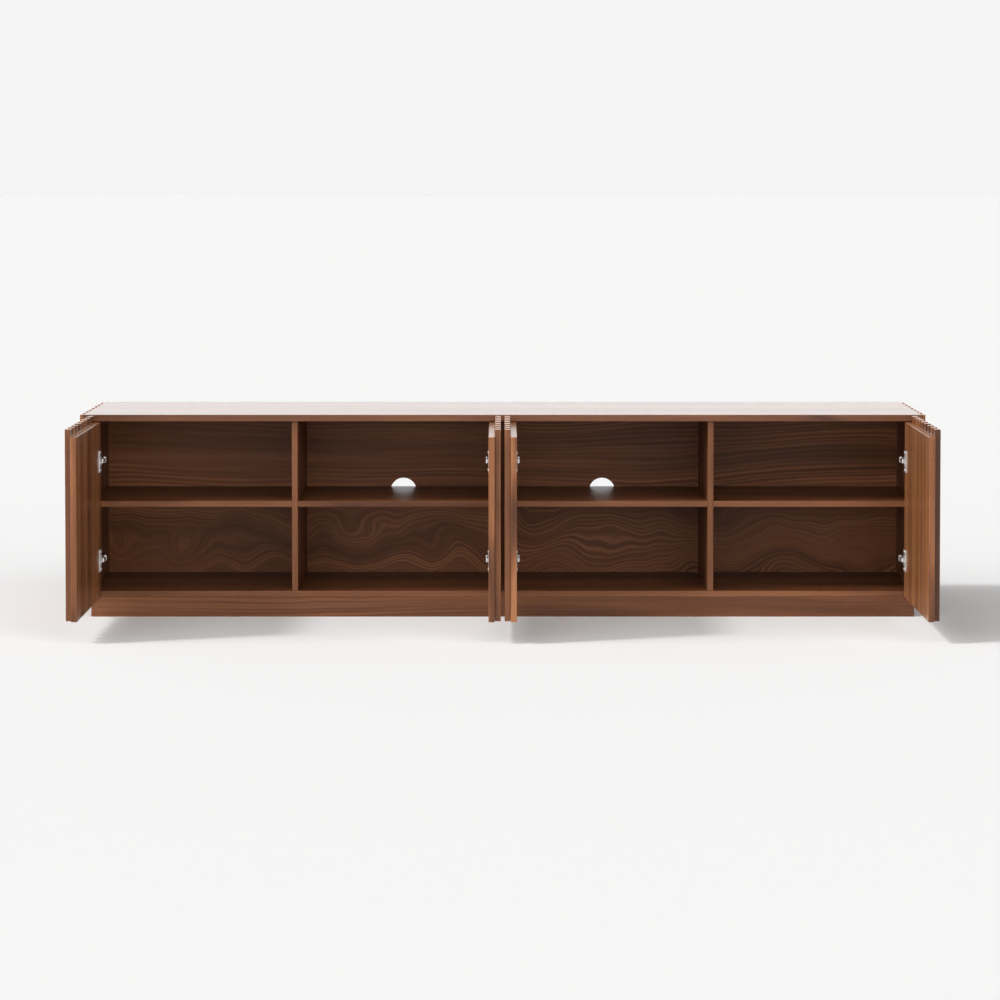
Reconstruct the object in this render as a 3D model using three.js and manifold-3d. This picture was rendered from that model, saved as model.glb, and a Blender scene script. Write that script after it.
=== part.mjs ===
// A low media cabinet: one long top over four bays, each with a shelf and a hinged, slatted door.
// Millimetres, +Z up, doors facing -Y. The doors stand open at a right angle to the front.
import * as THREE from 'three';
import { ConvexGeometry } from 'three/addons/geometries/ConvexGeometry.js';
import { mergeVertices } from 'three/addons/utils/BufferGeometryUtils.js';
import Module from 'manifold-3d';

const wasm = await Module();
wasm.setup();

// Overall size.
const WIDTH = 2340;
const DEPTH = 585;
const HEIGHT = 563;
const FIT = 0.3; // clearance between pieces that touch
const EDGE = 0.8; // chamfer on every board edge

// Boards.
const BOARD = 16; // dividers, shelves, bottom, plinth and door panels
const TOP = 18;
const SIDE = 15;
const BACK = 8;
const BACK_RECESS = 63; // cable space behind the back panels
const PLINTH_HEIGHT = 56;
const PLINTH_INSET = 2;
const PLINTH_REAR_SETBACK = 40;
const SHELF_HEIGHT = 306; // floor to the shelf's underside

// Slats stand on the sides and on the doors, and rise past the top's edges.
const SLAT_COUNT = 8;
const SLAT_WIDTH = 30;
const SLAT_BACKER = 3;
const SIDE_SLAT_DEPTH = 10;
const SLAT_DROP = 0.5; // slat tops below the top surface
const SLAT_SET_BACK = 0.5; // slat backs in front of the backer's back face

// Doors.
const DOOR = 32; // panel and slats together
const DOOR_BOTTOM = 59.4;
const DOOR_TOP_GAP = 1.5;
const DOOR_SIDE_GAP = 2;
const DOOR_PAIR_GAP = 3;
const CENTRE_AXIS = 5; // half the space between the two middle doors
const BUMPER_GAP = 2; // between a closed door and the carcass

// Cable holes.
const CABLE_HOLE_RADIUS = 37.5;
const CABLE_HOLE_HEIGHT = 309;

// Hinges. Distances are from the door's turning axis, across the front and into the cabinet.
const HINGE_HEIGHTS = { bottom: 163, top: 437 };
const CUP_RADIUS = 17.2;
const CUP_DEPTH = 11.2;
const CUP_WALL = 1.2;
const CUP_FROM_EDGE = 22.5;
const FLANGE = 2.2;
const FLANGE_SPAN = [4, 43];
const FLANGE_HALF_HEIGHT = 30;
const PIVOT_ACROSS = 38.5;
const PIVOT_IN = 40;
const PIN_RADIUS = 2;
const LINK_HALF = 3.2;
const LINK_HEIGHT = 11;
const LINK_REACH = 50;
const CHEEK = 2;
const ARM_HEIGHT = 10;
const ARM_TAIL = 98;
const ARM_STEP = 60;
const ARM_NOSE = 45;
const PLATE = 3;
const CUP_SIDES = 24; // facets round the cups and their bores
const PIN_SIDES = 12; // facets round the pivots

// Worked out from the sizes above.
const INNER = WIDTH / 2 - SIDE_SLAT_DEPTH - SIDE; // middle to a side panel's inner face
const TOP_HALF = INNER + SIDE;
const CEILING = HEIGHT - TOP;
const FLOOR = PLINTH_HEIGHT + BOARD;
const FRONT = DOOR + BUMPER_GAP;
const BACK_FACE = DEPTH - BACK_RECESS - BACK;
const BAY = (INNER - BOARD / 2 - BOARD) / 2;
const DIVIDER_AT = BOARD / 2 + BAY + BOARD / 2;
const OUTER_AXIS = INNER - DOOR_SIDE_GAP;
const DOOR_WIDTH = (OUTER_AXIS - CENTRE_AXIS - DOOR_PAIR_GAP) / 2;
const DOOR_TOP = CEILING - DOOR_TOP_GAP;
const SLAT_TOP = HEIGHT - SLAT_DROP;
const DOOR_SLAT_DEPTH = DOOR - BOARD - FIT;
const TOP_FRONT = DOOR - BOARD + 1;

// Finishes.
const WALNUT = { color: 0x6f472f, roughness: 0.42, metalness: 0 };
const WALNUT_SLAT = { color: 0x7a5036, roughness: 0.4, metalness: 0 };
const WALNUT_BACK = { color: 0x4a3022, roughness: 0.5, metalness: 0 };
const NICKEL = { color: 0xc8cacb, roughness: 0.25, metalness: 1 };

const cabinet = new THREE.Group();

function addMesh(parent, name, geometry, finish, place = [0, 0, 0]) {
  const mesh = new THREE.Mesh(geometry, new THREE.MeshStandardMaterial(finish));
  mesh.name = name;
  mesh.position.set(...place);
  parent.add(mesh);
  return mesh;
}

// A block centred on the origin, with its edges and corners chamfered, or sharp where chamfer is 0.
function block(width, depth, height, chamfer = EDGE) {
  if (chamfer === 0) return new THREE.BoxGeometry(width, depth, height);
  const half = [width / 2, depth / 2, height / 2];
  const points = [];
  for (const sx of [-1, 1]) {
    for (const sy of [-1, 1]) {
      for (const sz of [-1, 1]) {
        for (const full of [0, 1, 2]) {
          const reach = half.map((h, axis) => (axis === full ? h : h - chamfer));
          points.push(new THREE.Vector3(sx * reach[0], sy * reach[1], sz * reach[2]));
        }
      }
    }
  }
  return new ConvexGeometry(points);
}

// A block between two limits on each axis.
function blockBetween(x, y, z, chamfer = EDGE) {
  const geometry = block(x[1] - x[0], y[1] - y[0], z[1] - z[0], chamfer);
  geometry.translate((x[0] + x[1]) / 2, (y[0] + y[1]) / 2, (z[0] + z[1]) / 2);
  return geometry;
}

function addBoard(parent, name, x, y, z, finish) {
  const middle = [(x[0] + x[1]) / 2, (y[0] + y[1]) / 2, (z[0] + z[1]) / 2];
  return addMesh(parent, name, block(x[1] - x[0], y[1] - y[0], z[1] - z[0]), finish, middle);
}

// A cylinder along Y or Z, between two limits on that axis.
function rod(axis, radius, limits, centre, segments = PIN_SIDES) {
  const geometry = new THREE.CylinderGeometry(radius, radius, limits[1] - limits[0], segments);
  const along = (limits[0] + limits[1]) / 2;
  if (axis === 'z') {
    geometry.rotateX(Math.PI / 2);
    geometry.translate(centre[0], centre[1], along);
  } else {
    geometry.translate(centre[0], along, centre[1]);
  }
  return geometry;
}

function toSolid(geometry) {
  const bare = geometry.clone();
  bare.deleteAttribute('normal');
  bare.deleteAttribute('uv');
  const merged = mergeVertices(bare, 1e-4);
  const vertProperties = new Float32Array(merged.attributes.position.array);
  const triVerts = new Uint32Array(merged.index.array);
  return new wasm.Manifold(new wasm.Mesh({ numProp: 3, vertProperties, triVerts }));
}

function toGeometry(solid) {
  const mesh = solid.getMesh();
  const geometry = new THREE.BufferGeometry();
  geometry.setAttribute('position', new THREE.BufferAttribute(mesh.vertProperties, 3));
  geometry.setIndex(new THREE.BufferAttribute(mesh.triVerts, 1));
  geometry.computeVertexNormals();
  return geometry;
}

// The first geometries joined, with the second ones cut away.
function carve(joined, cut = []) {
  const [first, ...rest] = joined.map(toSolid);
  const whole = rest.reduce((sum, next) => sum.add(next), first);
  return toGeometry(cut.map(toSolid).reduce((sum, next) => sum.subtract(next), whole));
}

// A row of upright slats on a thin backer: slat faces at y = 0, backer at y = depth, foot at z = 0.
function slatRow(length, depth, slatHeight, backerHeight) {
  const pitch = length / SLAT_COUNT;
  const margin = (pitch - SLAT_WIDTH) / 2;
  const inset = EDGE + 1;
  const parts = [
    blockBetween(
      [margin + inset - length / 2, length / 2 - margin - inset],
      [depth - SLAT_BACKER, depth],
      [inset, backerHeight],
      EDGE / 2,
    ),
  ];
  for (let i = 0; i < SLAT_COUNT; i += 1) {
    const start = i * pitch + margin - length / 2;
    parts.push(blockBetween([start, start + SLAT_WIDTH], [0, depth - SLAT_SET_BACK], [0, slatHeight]));
  }
  return carve(parts);
}

// Top, bottom, sides and the slats on the sides.
function addShell() {
  addBoard(cabinet, 'top_board', [-TOP_HALF, TOP_HALF], [TOP_FRONT, DEPTH], [CEILING, HEIGHT], WALNUT);
  const across = [FIT - INNER, INNER - FIT];
  addBoard(cabinet, 'bottom_board', across, [FRONT, DEPTH], [PLINTH_HEIGHT, FLOOR], WALNUT);
  for (const [name, side] of [['left', -1], ['right', 1]]) {
    const x = [side * INNER, side * TOP_HALF].sort((a, b) => a - b);
    addBoard(cabinet, `side_panel_${name}`, x, [0, DEPTH], [DOOR_BOTTOM, CEILING - FIT], WALNUT);
    const geometry = slatRow(
      DEPTH,
      SIDE_SLAT_DEPTH - FIT,
      SLAT_TOP - DOOR_BOTTOM,
      CEILING - FIT - DOOR_BOTTOM,
    );
    const place = [side * WIDTH / 2, DEPTH / 2, DOOR_BOTTOM];
    const slats = addMesh(cabinet, `side_slats_${name}`, geometry, WALNUT_SLAT, place);
    slats.rotation.z = side * Math.PI / 2;
  }
}

// Upright partition and dividers, shelves and back panels.
function addInside() {
  const rise = [FLOOR + FIT, CEILING - FIT];
  const half = BOARD / 2;
  addBoard(cabinet, 'centre_partition', [-half, half], [FRONT, DEPTH], rise, WALNUT);
  for (const [name, side] of [['left', -1], ['right', 1]]) {
    const at = side * DIVIDER_AT;
    addBoard(cabinet, `divider_${name}`, [at - half, at + half], [FRONT, BACK_FACE - FIT], rise, WALNUT);
    for (const [where, from] of [['inner', half], ['outer', DIVIDER_AT + half]]) {
      const x = [side * (from + FIT), side * (from + BAY - FIT)].sort((a, b) => a - b);
      const z = [SHELF_HEIGHT, SHELF_HEIGHT + BOARD];
      addBoard(cabinet, `shelf_${name}_${where}`, x, [FRONT, BACK_FACE - FIT], z, WALNUT);
    }
    const x = [side * (half + FIT), side * (INNER - FIT)].sort((a, b) => a - b);
    const hole = [side * (half + BAY / 2), CABLE_HOLE_HEIGHT];
    const back = carve(
      [blockBetween(x, [BACK_FACE, BACK_FACE + BACK], rise, EDGE / 2)],
      [rod('y', CABLE_HOLE_RADIUS, [BACK_FACE - 1, BACK_FACE + BACK + 1], hole, 48)],
    );
    addMesh(cabinet, `back_panel_${name}`, back, WALNUT_BACK);
  }
}

function addPlinth() {
  const z = [0, PLINTH_HEIGHT - FIT];
  const reach = INNER - PLINTH_INSET;
  const rear = DEPTH - PLINTH_REAR_SETBACK;
  const between = [FRONT + BOARD + FIT, rear - BOARD - FIT];
  addBoard(cabinet, 'plinth_front', [-reach, reach], [FRONT, FRONT + BOARD], z, WALNUT);
  addBoard(cabinet, 'plinth_back', [-reach, reach], [rear - BOARD, rear], z, WALNUT);
  addBoard(cabinet, 'plinth_end_left', [-reach, BOARD - reach], between, z, WALNUT);
  addBoard(cabinet, 'plinth_end_right', [reach - BOARD, reach], between, z, WALNUT);
  addBoard(cabinet, 'plinth_brace', [-BOARD / 2, BOARD / 2], between, z, WALNUT);
}

// The part of a hinge sunk in the door: a round cup under a rectangular plate that is screwed down.
function cupGeometry(side, height) {
  const seat = [DOOR + FIT, DOOR + FIT + FLANGE];
  const centre = [side * CUP_FROM_EDGE, height];
  const flange = FLANGE_SPAN.map((reach) => side * reach).sort((a, b) => a - b);
  const parts = [
    rod('y', CUP_RADIUS, [DOOR - CUP_DEPTH, seat[1] - CUP_WALL / 2], centre, CUP_SIDES),
    blockBetween(flange, seat, [height - FLANGE_HALF_HEIGHT, height + FLANGE_HALF_HEIGHT], 0),
  ];
  const hollow = rod('y', CUP_RADIUS - CUP_WALL, [DOOR - CUP_DEPTH + CUP_WALL, DOOR + 9], centre, CUP_SIDES);
  return carve(parts, [hollow]);
}

// The swinging link, in its open position: it reaches forward from the pivot to above the cup.
function linkGeometry() {
  const z = [-LINK_HEIGHT / 2, LINK_HEIGHT / 2];
  const parts = [
    rod('z', LINK_HALF, z, [0, 0]),
    rod('z', LINK_HALF, z, [0, -LINK_REACH]),
    blockBetween([0.05 - LINK_HALF, LINK_HALF - 0.05], [-LINK_REACH, 0], [z[0] + 0.1, z[1] - 0.1], 0),
  ];
  return carve(parts, [rod('z', PIN_RADIUS + FIT, [z[0] - 1, z[1] + 1], [0, 0])]);
}

// The cranked arm on the carcass: a fork with its pin in front, a foot on the mounting plate behind.
function armGeometry(side, wall) {
  const foot = wall + PLATE + 2 * FIT;
  const inner = PIVOT_ACROSS - LINK_HALF;
  const outer = PIVOT_ACROSS + LINK_HALF;
  const outline = [
    [foot, ARM_TAIL],
    [foot + 5, ARM_TAIL],
    [foot + 5, ARM_STEP + 5],
    [outer, ARM_NOSE + 6],
    [outer, ARM_NOSE],
    [inner, ARM_NOSE],
    [foot, ARM_STEP],
  ];
  const shape = new THREE.Shape(outline.map(([p, q]) => new THREE.Vector2(side * p, q)));
  const crank = new THREE.ExtrudeGeometry(shape, { depth: ARM_HEIGHT, bevelEnabled: false });
  crank.translate(0, 0, -ARM_HEIGHT / 2);
  const inside = LINK_HEIGHT / 2 + FIT;
  const outside = inside + CHEEK;
  const at = side * PIVOT_ACROSS;
  const reach = LINK_HALF + 0.4;
  const webbed = [ARM_NOSE + 0.5, ARM_NOSE + 4.5];
  const parts = [
    crank,
    blockBetween([at - reach, at + reach], webbed, [0.2 - outside, outside - 0.2], 0),
    rod('z', PIN_RADIUS, [0.3 - outside, outside - 0.3], [at, PIVOT_IN]),
  ];
  for (const z of [[-outside, -inside], [inside, outside]]) {
    parts.push(rod('z', reach + 0.2, z, [at, PIVOT_IN]));
    parts.push(blockBetween([at - reach, at + reach], [PIVOT_IN, ARM_NOSE + 5], z, 0));
  }
  return carve(parts);
}

// The mounting plate screwed to the upright, with its two wings.
function plateGeometry(side, wall) {
  const thick = [side * (wall + FIT), side * (wall + FIT + PLATE)].sort((a, b) => a - b);
  const thin = [thick[0] + 0.2, thick[1] - 0.2];
  return carve([
    blockBetween(thick, [ARM_STEP - 12, ARM_TAIL + 2], [-9, 9], 0),
    blockBetween(thin, [ARM_STEP + 3, ARM_STEP + 17], [-29, 29], 0),
  ]);
}

// A door and its hinges. The door is built closed, from its axis towards side, then turned open.
function addDoor(name, axisAt, side, wall) {
  const door = new THREE.Group();
  door.position.set(axisAt, 0, 0);
  door.rotation.z = -side * Math.PI / 2;
  cabinet.add(door);
  const middle = side * DOOR_WIDTH / 2;
  const heights = Object.entries(HINGE_HEIGHTS);
  const bores = heights.map(([, z]) => (
    rod('y', CUP_RADIUS + FIT, [DOOR - CUP_DEPTH - FIT, DOOR + 1], [side * CUP_FROM_EDGE, z], CUP_SIDES)
  ));
  const across = [middle - DOOR_WIDTH / 2, middle + DOOR_WIDTH / 2];
  const panel = blockBetween(across, [DOOR - BOARD, DOOR], [DOOR_BOTTOM, DOOR_TOP]);
  addMesh(door, `door_panel_${name}`, carve([panel], bores), WALNUT);
  const slats = slatRow(DOOR_WIDTH, DOOR_SLAT_DEPTH, SLAT_TOP - DOOR_BOTTOM, DOOR_TOP - DOOR_BOTTOM);
  addMesh(door, `door_slats_${name}`, slats, WALNUT_SLAT, [middle, 0, DOOR_BOTTOM]);
  for (const [level, z] of heights) {
    const label = `${name}_${level}`;
    addMesh(door, `hinge_cup_${label}`, cupGeometry(side, z), NICKEL);
    const pivot = [axisAt + side * PIVOT_ACROSS, PIVOT_IN, z];
    addMesh(cabinet, `hinge_link_${label}`, linkGeometry(), NICKEL, pivot);
    addMesh(cabinet, `hinge_arm_${label}`, armGeometry(side, wall), NICKEL, [axisAt, 0, z]);
    addMesh(cabinet, `hinge_plate_${label}`, plateGeometry(side, wall), NICKEL, [axisAt, 0, z]);
  }
}

addShell();
addInside();
addPlinth();
const centreWall = BOARD / 2 - CENTRE_AXIS;
addDoor('left_outer', -OUTER_AXIS, 1, -DOOR_SIDE_GAP);
addDoor('left_inner', -CENTRE_AXIS, -1, centreWall);
addDoor('right_inner', CENTRE_AXIS, 1, centreWall);
addDoor('right_outer', OUTER_AXIS, -1, -DOOR_SIDE_GAP);

// The origin is under the middle of the box that the cabinet fills with its doors open.
cabinet.position.y = (DOOR_WIDTH - DEPTH) / 2;

export default cabinet;
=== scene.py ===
"""Looks for the walnut media cabinet: wood, nickel hinges with screws, studio floor, light and camera."""

import math

import bmesh
import bpy
from mathutils import Matrix, Vector


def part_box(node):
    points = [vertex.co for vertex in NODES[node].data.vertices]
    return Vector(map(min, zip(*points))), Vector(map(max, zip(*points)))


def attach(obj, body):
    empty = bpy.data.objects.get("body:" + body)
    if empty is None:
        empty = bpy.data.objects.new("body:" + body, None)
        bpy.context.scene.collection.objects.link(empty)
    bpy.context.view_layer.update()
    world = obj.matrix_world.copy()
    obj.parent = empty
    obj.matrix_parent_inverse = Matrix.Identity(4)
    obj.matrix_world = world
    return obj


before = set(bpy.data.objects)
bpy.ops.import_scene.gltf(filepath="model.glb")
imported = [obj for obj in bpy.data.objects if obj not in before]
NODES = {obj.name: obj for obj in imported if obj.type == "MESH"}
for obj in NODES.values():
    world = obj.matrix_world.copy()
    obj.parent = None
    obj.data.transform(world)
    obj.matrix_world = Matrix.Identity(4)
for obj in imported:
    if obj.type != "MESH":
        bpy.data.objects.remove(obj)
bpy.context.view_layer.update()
SCENE = bpy.context.scene
MM = 0.001

# Camera: level with a little tilt, the rest of the view below the horizon taken up by the lens shift.
FOCAL_MM = 129.35
SENSOR_MM = 36.0
CAMERA_HEIGHT = 1.2265
CAMERA_BACK = 9.909
TILT_DEG = 2.794
SHIFT_X = -0.0027
SHIFT_Y = -0.15
CLIP_END = 400.0

# Light. Directions are the way that the light travels.
BACKGROUND = 0.913
AMBIENT = 0.12
FRONT_GLOW = 2.02
BACK_GLOW = 2.95
LEFT_GLOW = 0.3
KEY_DIRECTION = (580, 225, -562)
KEY_STRENGTH = 1.45
KEY_ANGLE_DEG = 7.5
FILL_DIRECTION = (880, 150, -562)
FILL_STRENGTH = 0.60
FILL_ANGLE_DEG = 15
FLOOR_ALBEDO = (0.872, 0.868, 0.864)
FLOOR_REACH = 200.0

# Walnut tones, from the darkest line to the palest streak.
CARCASS = ((0.051, 0.0160, 0.0052), (0.133, 0.0468, 0.0170), (0.240, 0.0970, 0.0390))
DOORS = ((0.067, 0.0219, 0.0071), (0.174, 0.0622, 0.0216), (0.315, 0.1300, 0.0500))
BACKS = ((0.105, 0.0355, 0.0130), (0.255, 0.0945, 0.0360), (0.440, 0.1830, 0.0780))
TONE_STOPS = (0.05, 0.48, 0.98)
LACQUER_ROUGHNESS = 0.40
COAT_ROUGHNESS = 0.16
SWIRL_HEIGHT = 0.29
CHAMFER_LIMIT = 0.95
FACING_LIMIT = 0.6

# Seed, lift and front tone of each door panel and each row of slats, as walnut() explains them.
DOOR_PANELS = {
    "left_outer": (36, -0.02, -0.18),
    "left_inner": (32, 0.02, 0.26),
    "right_inner": (31, 0.02, 0.23),
    "right_outer": (34, 0.23, -0.34),
}
SLAT_ROWS = {
    "door_slats_left_outer": (69, -0.10, -0.22),
    "door_slats_left_inner": (41, 0.03, -0.03),
    "door_slats_right_inner": (43, -0.02, -0.03),
    "door_slats_right_outer": (64, -0.12, -0.22),
    "side_slats_left": (45, 0.0, 0.0),
    "side_slats_right": (46, 0.0, 0.0),
}
SLATS = 8
SLAT_WIDTH = 30 * MM

# Hinge metal and screws.
NICKEL_TINT = (0.90, 0.895, 0.885)
SCREW_TINT = (0.80, 0.79, 0.78)
METAL_ROUGHNESS = 0.34
SCREW_SIDES = 48
SCREW_INSET = 6 * MM
SCREW_RADIUS = 3.9 * MM
CUP_SCREW_HEIGHT = 1.5 * MM
PLATE_SCREW_HEIGHT = 1.6 * MM
PLATE_SCREW_SUNK = 0.2 * MM
PLATE_SCREW_FORWARD = 1.0 * MM
ARM_FOOT = 5 * MM
ARM_SCREW_RADIUS = 3.2 * MM
ARM_SCREW_HEIGHT = 1.2 * MM
ARM_SCREWS_BACK = (7 * MM, 18 * MM)


def link_or_set(tree, socket, value):
    if isinstance(value, bpy.types.NodeSocket):
        tree.links.new(value, socket)
    else:
        socket.default_value = value


def add(tree, kind, settings=None, **inputs):
    """A node with its settings and its inputs, which are values or sockets, by name with _ for a space."""
    node = tree.nodes.new("ShaderNode" + kind)
    for key, value in (settings or {}).items():
        setattr(node, key, value)
    for key, value in inputs.items():
        link_or_set(tree, node.inputs[key.replace("_", " ")], value)
    return node


def math_node(tree, operation, *values, clamp=False):
    node = tree.nodes.new("ShaderNodeMath")
    node.operation = operation
    node.use_clamp = clamp
    for socket, value in zip(node.inputs, values):
        link_or_set(tree, socket, value)
    return node.outputs[0]


def scaled(tree, value, gain, offset=0.0, clamp=False):
    return math_node(tree, "MULTIPLY_ADD", value, gain, offset, clamp=clamp)


def smooth_range(tree, value, start, end):
    """0 up to start and 1 from end on, with a smooth step between them. start may be the greater."""
    settings = {"interpolation_type": "SMOOTHSTEP"}
    return add(tree, "MapRange", settings, Value=value, From_Min=start, From_Max=end).outputs[0]


def noise(tree, vector, along, across, detail=2.0, roughness=0.5):
    """Noise on the grain coordinates, with its cells per metre along and across the grain."""
    mapping = add(tree, "Mapping", Vector=vector, Scale=(along, across, across))
    made = add(tree, "TexNoise", Vector=mapping.outputs[0], Scale=1.0, Detail=detail, Roughness=roughness)
    return made.outputs["Fac"]


def blend_colours(tree, kind, factor, a, b):
    node = tree.nodes.new("ShaderNodeMix")
    node.data_type = "RGBA"
    node.blend_type = kind
    for index, value in ((0, factor), (6, a), (7, b)):
        link_or_set(tree, node.inputs[index], value)
    return node.outputs[2]


def new_material(name):
    material = bpy.data.materials.new(name)
    material.use_nodes = True
    tree = material.node_tree
    tree.nodes.clear()
    shader = add(tree, "BsdfPrincipled")
    output = tree.nodes.new("ShaderNodeOutputMaterial")
    tree.links.new(shader.outputs[0], output.inputs[0])
    return material, tree, shader


def grain_coordinates(tree, axes, seed, slat_pitch=None, slat_start=0.0):
    """Object coordinates turned so that X runs along the grain, moved by the seed.

    With a slat_pitch it also makes a tone for each slat, and moves the grain from slat to slat.
    """
    texture = add(tree, "TexCoord")
    parts = add(tree, "SeparateXYZ", Vector=texture.outputs["Object"])
    along, across, depth = (parts.outputs["XYZ".index(axis)] for axis in axes)
    slat_tone = None
    if slat_pitch:
        past_start = math_node(tree, "SUBTRACT", parts.outputs[1], slat_start)
        index = math_node(tree, "FLOOR", math_node(tree, "DIVIDE", past_start, slat_pitch))
        slat_tone = add(tree, "TexWhiteNoise", {"noise_dimensions": "1D"}, W=scaled(tree, index, 1.7, seed))
        slat_tone = slat_tone.outputs["Value"]
        along = math_node(tree, "ADD", along, scaled(tree, slat_tone, 9.0))
        depth = math_node(tree, "ADD", depth, scaled(tree, slat_tone, 5.0))
    moved = add(
        tree,
        "CombineXYZ",
        X=math_node(tree, "ADD", along, 3.17 * seed),
        Y=math_node(tree, "ADD", across, 1.93 * seed),
        Z=math_node(tree, "ADD", depth, 2.71 * seed),
    )
    return texture, moved.outputs[0], parts, slat_tone


def edge_mask(tree, texture):
    """1 on the chamfers, whose normals lie between the axes, and 0 on the flat faces."""
    parts = add(tree, "SeparateXYZ", Vector=texture.outputs["Normal"])
    sides = [math_node(tree, "ABSOLUTE", socket) for socket in parts.outputs]
    widest = math_node(tree, "MAXIMUM", math_node(tree, "MAXIMUM", sides[0], sides[1]), sides[2])
    return math_node(tree, "LESS_THAN", widest, CHAMFER_LIMIT)


def walnut(name, axes, tones, seed, spacing=0.0085, sway=0.035, swirl=0.0, lines=0.5, broad=9.0, contrast=1.0,
           lift=0.0, lip=0.0, painted_top_light=0.0, coat=0.35, shine=0.5, slat_pitch=None, slat_start=0.0):
    """Lacquered walnut. axes gives the world axes along, across and through the grain.

    spacing is between growth lines in metres, sway is how far they wander, and swirl adds to it low down.
    lines is how dark they are, and pale below 0. broad is how many wide bands there are to a metre. lift
    makes the whole piece paler. The front tone changes only what faces forward: a tone of its own, and
    painted light and shade on some pieces. The top light makes only what faces up paler: painted light from
    above.
    """
    material, tree, shader = new_material(name)
    texture, grain, parts, slat_tone = grain_coordinates(tree, axes, seed, slat_pitch, slat_start)
    place = add(tree, "SeparateXYZ", Vector=grain).outputs
    wander = scaled(tree, noise(tree, grain, 1.3, 3.2, detail=1.0, roughness=0.4), sway, -sway / 2)
    if swirl:
        low = smooth_range(tree, parts.outputs[2], SWIRL_HEIGHT + 0.03, SWIRL_HEIGHT - 0.12)
        eddy = scaled(tree, noise(tree, grain, 6.5, 5.0, detail=0.8, roughness=0.3), swirl, -swirl / 2)
        wander = math_node(tree, "ADD", wander, math_node(tree, "MULTIPLY", eddy, low))
    ripple = scaled(tree, noise(tree, grain, 8.0, 20.0, detail=1.5), 0.007, -0.0035)
    ring_at = math_node(tree, "ADD", place[1], math_node(tree, "ADD", wander, ripple))
    flow = add(tree, "CombineXYZ", X=place[0], Y=ring_at, Z=scaled(tree, place[2], 0.6)).outputs[0]

    years = noise(tree, flow, 0.25, 0.45 / spacing, detail=1.0)
    phase = scaled(tree, years, 1.6, math_node(tree, "DIVIDE", ring_at, spacing))
    wave = scaled(tree, math_node(tree, "SINE", scaled(tree, phase, 2 * math.pi)), 0.5, 0.5)
    vigour = scaled(tree, noise(tree, flow, 0.8, 0.13 / spacing, detail=1.0), 4.5, -1.9, clamp=True)
    latewood = math_node(tree, "MULTIPLY", math_node(tree, "POWER", wave, 2.2), vigour)
    bands = noise(tree, flow, 0.5, broad, detail=3.0, roughness=0.55)
    streaks = noise(tree, flow, 1.6, 70.0, detail=3.0, roughness=0.6)
    fibres = noise(tree, flow, 14.0, 900.0, detail=2.0)
    pore_noise = noise(tree, flow, 70.0, 2300.0, detail=1.0)
    pores = add(tree, "MapRange", Value=pore_noise, From_Min=0.60, From_Max=0.68).outputs[0]

    tone = scaled(tree, bands, 1.5 * contrast, 0.5 + lift - 0.75 * contrast)
    for part, gain, middle in ((streaks, 0.75, 0.5), (fibres, 0.22, 0.5), (latewood, -lines, 0.25)):
        tone = math_node(tree, "ADD", tone, scaled(tree, part, gain * contrast, -gain * contrast * middle))
    if slat_tone:
        tone = math_node(tree, "ADD", tone, scaled(tree, slat_tone, 0.32, -0.16))
    normal = add(tree, "SeparateXYZ", Vector=texture.outputs["Normal"]).outputs
    # What faces forward gets a tone of its own, which on the partition, shelves and bottom is painted shade
    # and light.
    if lip:
        forward = math_node(tree, "LESS_THAN", normal[1], -FACING_LIMIT)
        tone = math_node(tree, "ADD", tone, scaled(tree, forward, lip))
    # What faces up is painted paler: painted light from above.
    if painted_top_light:
        upward = math_node(tree, "GREATER_THAN", normal[2], FACING_LIMIT)
        tone = math_node(tree, "ADD", tone, scaled(tree, upward, painted_top_light))
    ramp = add(tree, "ValToRGB", Fac=tone)
    elements = ramp.color_ramp.elements
    elements.new(0.5)
    for element, stop, colour in zip(elements, TONE_STOPS, tones):
        element.position = stop
        element.color = (*colour, 1.0)
    reddish = scaled(tree, noise(tree, grain, 0.7, 5.0, detail=1.0), 0.5, 0.0)
    warm = blend_colours(tree, "MULTIPLY", reddish, ramp.outputs[0], (1.0, 0.86, 0.80, 1.0))
    pored = blend_colours(tree, "MULTIPLY", scaled(tree, pores, 0.5), warm, (0.45, 0.38, 0.34, 1.0))
    # The chamfers are painted paler: a painted sheen along the edges.
    edge_sheen_amount = scaled(tree, edge_mask(tree, texture), 0.30)
    painted_edge_sheen = blend_colours(tree, "MIX", edge_sheen_amount, pored, (*(min(1.0, 1.25 * c) for c in tones[2]), 1.0))
    tree.links.new(painted_edge_sheen, shader.inputs["Base Color"])

    streaked = scaled(tree, streaks, 0.12, LACQUER_ROUGHNESS - 0.06)
    rough = math_node(tree, "ADD", streaked, scaled(tree, pores, 0.14))
    tree.links.new(rough, shader.inputs["Roughness"])
    shader.inputs["Specular IOR Level"].default_value = shine
    shader.inputs["Coat Weight"].default_value = coat
    shader.inputs["Coat Roughness"].default_value = COAT_ROUGHNESS
    height = math_node(tree, "ADD", scaled(tree, fibres, 0.35), scaled(tree, pores, -0.8))
    height = math_node(tree, "ADD", height, scaled(tree, latewood, -0.25))
    bump = add(tree, "Bump", Height=height, Strength=0.22, Distance=0.0003)
    tree.links.new(bump.outputs[0], shader.inputs["Normal"])
    return material


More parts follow.
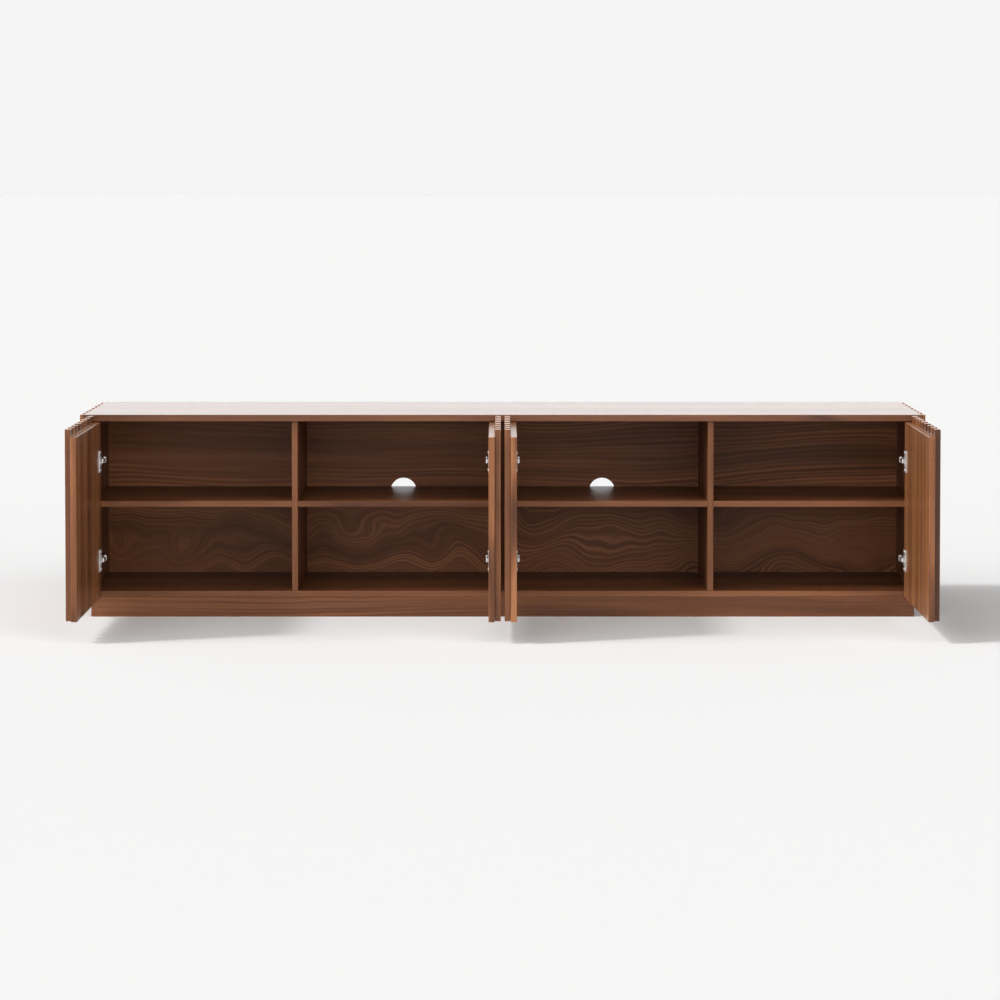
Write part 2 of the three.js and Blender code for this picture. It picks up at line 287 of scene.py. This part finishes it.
def nickel(name, tint):
    """Bright plated steel with faint drawn lines and cloudy patches."""
    material, tree, shader = new_material(name)
    texture = add(tree, "TexCoord")
    scale = add(tree, "Mapping", Vector=texture.outputs["Object"], Scale=(260.0, 260.0, 2600.0))
    drawn = add(tree, "TexNoise", Vector=scale.outputs[0], Scale=1.0, Detail=2.0).outputs["Fac"]
    cloud = add(tree, "TexNoise", Vector=texture.outputs["Object"], Scale=140.0, Detail=3.0).outputs["Fac"]
    dull, bright = ((*(gain * c for c in tint), 1.0) for gain in (0.90, 1.08))
    colour = blend_colours(tree, "MIX", cloud, dull, bright)
    tree.links.new(colour, shader.inputs["Base Color"])
    shader.inputs["Metallic"].default_value = 1.0
    lined = scaled(tree, drawn, 0.14, METAL_ROUGHNESS - 0.07)
    uneven = math_node(tree, "ADD", lined, scaled(tree, cloud, 0.10, -0.05))
    tree.links.new(uneven, shader.inputs["Roughness"])
    bump = add(tree, "Bump", Height=drawn, Strength=0.08, Distance=0.0001)
    tree.links.new(bump.outputs[0], shader.inputs["Normal"])
    return material


def paint(node, material):
    """Gives a CAD node one material in all its slots."""
    slots = NODES[node].data.materials
    if not slots:
        slots.append(material)
    for index in range(len(slots)):
        slots[index] = material


def dress_boards():
    """The top, shelves, bottom, dividers, sides and plinth: grain along the longest way."""
    inside = {"tones": CARCASS, "coat": 0.05, "shine": 0.25}
    # Shelves and bottom are darker all over but paler at the front, so their faces inside the bays are in
    # painted shade.
    flat = {"axes": "XYZ", "lift": -0.16, "lip": 0.14, **inside}
    upright = {"axes": "ZYX", **inside}
    face = {"axes": "XZY", **inside}
    end = {"axes": "YZX", **inside}
    # The partition's front edge is painted very dark: painted shade for the narrow gap between the middle
    # doors.
    looks = {
        "top_board": {"axes": "XYZ", "tones": CARCASS, "spacing": 0.011, "sway": 0.06, "coat": 0.4,
                      "shine": 0.2, "lip": -0.12},
        "bottom_board": {**flat, "lip": 0.28},
        "centre_partition": {**upright, "lip": -0.75},
        "plinth_front": {**face, "spacing": 0.010, "sway": 0.05, "lines": 0.25, "lift": 0.03},
        "plinth_back": face,
        "plinth_end_left": end,
        "plinth_end_right": end,
        "plinth_brace": end,
    }
    for side in ("left", "right"):
        looks[f"divider_{side}"] = {**upright, "sway": 0.02}
        looks[f"side_panel_{side}"] = upright
        looks[f"back_panel_{side}"] = {**face, "tones": BACKS, "swirl": 0.23, "lines": -0.48, "shine": 0.15,
                                       "spacing": 0.0125, "sway": 0.11}
        for where in ("outer", "inner"):
            looks[f"shelf_{side}_{where}"] = flat
    for seed, (node, look) in enumerate(sorted(looks.items()), start=1):
        paint(node, walnut("walnut_" + node, seed=seed, **look))


def dress_slats():
    """The door panels and every row of slats, with a tone of its own for each slat."""
    # The tops of the door panels and slats are painted paler: painted light from above.
    satin = {"tones": DOORS, "coat": 0.3, "shine": 0.2, "painted_top_light": 0.7}
    panel = {"spacing": 0.017, "sway": 0.05, "broad": 13.0, "contrast": 1.45, **satin}
    row = {"spacing": 0.012, "sway": 0.03, **satin}
    for door, (seed, lift, lip) in DOOR_PANELS.items():
        look = {"seed": seed, "lift": lift, "lip": lip, **panel}
        paint(f"door_panel_{door}", walnut(f"walnut_door_{door}", "ZYX", **look))
    for node, (seed, lift, lip) in SLAT_ROWS.items():
        low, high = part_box(node)
        pitch = (high[1] - low[1] - SLAT_WIDTH) / (SLATS - 1)
        start = low[1] - (pitch - SLAT_WIDTH) / 2
        look = {"seed": seed, "lift": lift, "lip": lip, "slat_pitch": pitch, "slat_start": start, **row}
        paint(node, walnut("walnut_" + node, "ZYX", **look))


def ring_points(radius_at, height, sides):
    """Points round a screw's axis, at the radius that radius_at gives for each angle."""
    turns = [2 * math.pi * i / sides for i in range(sides)]
    return [(radius_at(t) * math.cos(t), radius_at(t) * math.sin(t), height) for t in turns]


def cross_radius(turn, reach, half):
    """How far a cross-shaped recess reaches at an angle."""
    c, s = abs(math.cos(turn)) + 1e-9, abs(math.sin(turn)) + 1e-9
    return max(min(reach / c, half / s), min(reach / s, half / c))


def add_screw_head(mesh, place, facing, radius, height):
    """A domed screw head with a cross recess, standing on a face."""
    sides = SCREW_SIDES
    rings = [
        ring_points(lambda t: radius, 0.0, sides),
        ring_points(lambda t: radius, height * 0.35, sides),
        ring_points(lambda t: radius * 0.90, height * 0.75, sides),
        ring_points(lambda t: radius * 0.72, height, sides),
        ring_points(lambda t: cross_radius(t, radius * 0.56, radius * 0.15), height, sides),
        ring_points(lambda t: cross_radius(t, radius * 0.40, radius * 0.08), height * 0.25, sides),
    ]
    turn = Vector(facing).to_track_quat("Z", "Y").to_matrix().to_4x4()
    matrix = Matrix.Translation(place) @ turn
    made = [[mesh.verts.new(matrix @ Vector(p)) for p in ring] for ring in rings]
    for lower, upper in zip(made, made[1:]):
        for i in range(sides):
            j = (i + 1) % sides
            mesh.faces.new((lower[i], lower[j], upper[j], upper[i]))
    mesh.faces.new(made[-1])
    mesh.faces.new(reversed(made[0]))


def add_screws(name, heads, body, material):
    """One piece with several screw heads, each (place, facing, radius, height)."""
    mesh = bmesh.new()
    for place, facing, radius, height in heads:
        add_screw_head(mesh, place, facing, radius, height)
    bmesh.ops.recalc_face_normals(mesh, faces=mesh.faces)
    data = bpy.data.meshes.new(name)
    mesh.to_mesh(data)
    mesh.free()
    piece = bpy.data.objects.new(name, data)
    SCENE.collection.objects.link(piece)
    data.materials.append(material)
    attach(piece, body)


def dress_hinges():
    """Nickel on the hinges, and the screws that hold each cup, plate and arm."""
    plate = nickel("nickel_plate", NICKEL_TINT)
    steel = nickel("screw_steel", SCREW_TINT)
    for node in [n for n in NODES if n.startswith("hinge_")]:
        paint(node, plate)
    for node in [n for n in NODES if n.startswith("hinge_cup_")]:
        label = node[len("hinge_cup_"):]
        door = label.rsplit("_", 1)[0]
        side = 1 if door in ("left_outer", "right_inner") else -1
        low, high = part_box(node)
        cup_y, cup_z = (low[1] + high[1]) / 2, (low[2] + high[2]) / 2
        face = high[0] if side > 0 else low[0]
        heads = [
            ((face, cup_y, z), (side, 0, 0), SCREW_RADIUS, CUP_SCREW_HEIGHT)
            for z in (low[2] + SCREW_INSET, high[2] - SCREW_INSET)
        ]
        add_screws("cup_screws_" + label, heads, "door_" + door, steel)
        low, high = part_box("hinge_plate_" + label)
        plate_y = (low[1] + high[1]) / 2 - PLATE_SCREW_FORWARD
        face = (high[0] if side > 0 else low[0]) - side * PLATE_SCREW_SUNK
        heads = [
            ((face, plate_y, z), (side, 0, 0), SCREW_RADIUS, PLATE_SCREW_HEIGHT)
            for z in (low[2] + SCREW_INSET, high[2] - SCREW_INSET)
        ]
        low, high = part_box("hinge_arm_" + label)
        foot_top = (low[0] if side > 0 else high[0]) + side * ARM_FOOT
        heads += [
            ((foot_top, high[1] - back, cup_z), (side, 0, 0), ARM_SCREW_RADIUS, ARM_SCREW_HEIGHT)
            for back in ARM_SCREWS_BACK
        ]
        add_screws("arm_screws_" + label, heads, "carcass", steel)


def add_floor():
    mesh = bmesh.new()
    bmesh.ops.create_grid(mesh, x_segments=1, y_segments=1, size=FLOOR_REACH)
    data = bpy.data.meshes.new("studio_floor")
    mesh.to_mesh(data)
    mesh.free()
    floor = bpy.data.objects.new("studio_floor", data)
    SCENE.collection.objects.link(floor)
    material, _, shader = new_material("studio_floor")
    shader.inputs["Base Color"].default_value = (*FLOOR_ALBEDO, 1.0)
    shader.inputs["Roughness"].default_value = 1.0
    shader.inputs["Specular IOR Level"].default_value = 0.0
    data.materials.append(material)


def add_sun(name, direction, strength, angle_deg):
    light = bpy.data.lights.new(name, "SUN")
    light.energy = strength
    light.angle = math.radians(angle_deg)
    sun = bpy.data.objects.new(name, light)
    sun.rotation_mode = "QUATERNION"
    sun.rotation_quaternion = Vector(direction).to_track_quat("-Z", "Y")
    SCENE.collection.objects.link(sun)


def add_world():
    """A pale studio: an even backdrop to the eye, and light from it that is soft all round.

    The light is brighter from the front, low down at the back, and a little from the left.
    """
    world = bpy.data.worlds.new("studio")
    SCENE.world = world
    world.use_nodes = True
    tree = world.node_tree
    tree.nodes.clear()
    facing = add(tree, "SeparateXYZ", Vector=add(tree, "TexCoord").outputs["Generated"])
    low = smooth_range(tree, facing.outputs[2], 0.30, 0.0)
    back = smooth_range(tree, facing.outputs[1], 0.2, 0.95)
    front = smooth_range(tree, facing.outputs[1], -0.1, -0.8)
    left = smooth_range(tree, facing.outputs[0], -0.2, -0.9)
    strength = scaled(tree, math_node(tree, "MULTIPLY", low, back), BACK_GLOW, AMBIENT)
    for part, glow in ((front, FRONT_GLOW), (left, LEFT_GLOW)):
        strength = math_node(tree, "ADD", strength, scaled(tree, part, glow))
    light = add(tree, "Background", Color=(1.0, 1.0, 1.0, 1.0), Strength=strength)
    seen = add(tree, "Background", Color=(1.0, 1.0, 1.0, 1.0), Strength=BACKGROUND)
    path = add(tree, "LightPath")
    mix = tree.nodes.new("ShaderNodeMixShader")
    tree.links.new(path.outputs["Is Camera Ray"], mix.inputs[0])
    tree.links.new(light.outputs[0], mix.inputs[1])
    tree.links.new(seen.outputs[0], mix.inputs[2])
    output = tree.nodes.new("ShaderNodeOutputWorld")
    tree.links.new(mix.outputs[0], output.inputs[0])


def add_camera():
    data = bpy.data.cameras.new("camera")
    data.lens = FOCAL_MM
    data.sensor_width = SENSOR_MM
    data.shift_x = SHIFT_X
    data.shift_y = SHIFT_Y
    data.clip_end = CLIP_END
    camera = bpy.data.objects.new("camera", data)
    camera.location = (0.0, -CAMERA_BACK, CAMERA_HEIGHT)
    camera.rotation_euler = (math.radians(90 - TILT_DEG), 0.0, 0.0)
    SCENE.collection.objects.link(camera)
    SCENE.camera = camera


SCENE.view_settings.view_transform = "Standard"
SCENE.view_settings.look = "None"
add_camera()
add_world()
add_sun("key_light", KEY_DIRECTION, KEY_STRENGTH, KEY_ANGLE_DEG)
add_sun("fill_light", FILL_DIRECTION, FILL_STRENGTH, FILL_ANGLE_DEG)
add_floor()
dress_boards()
dress_slats()
dress_hinges()
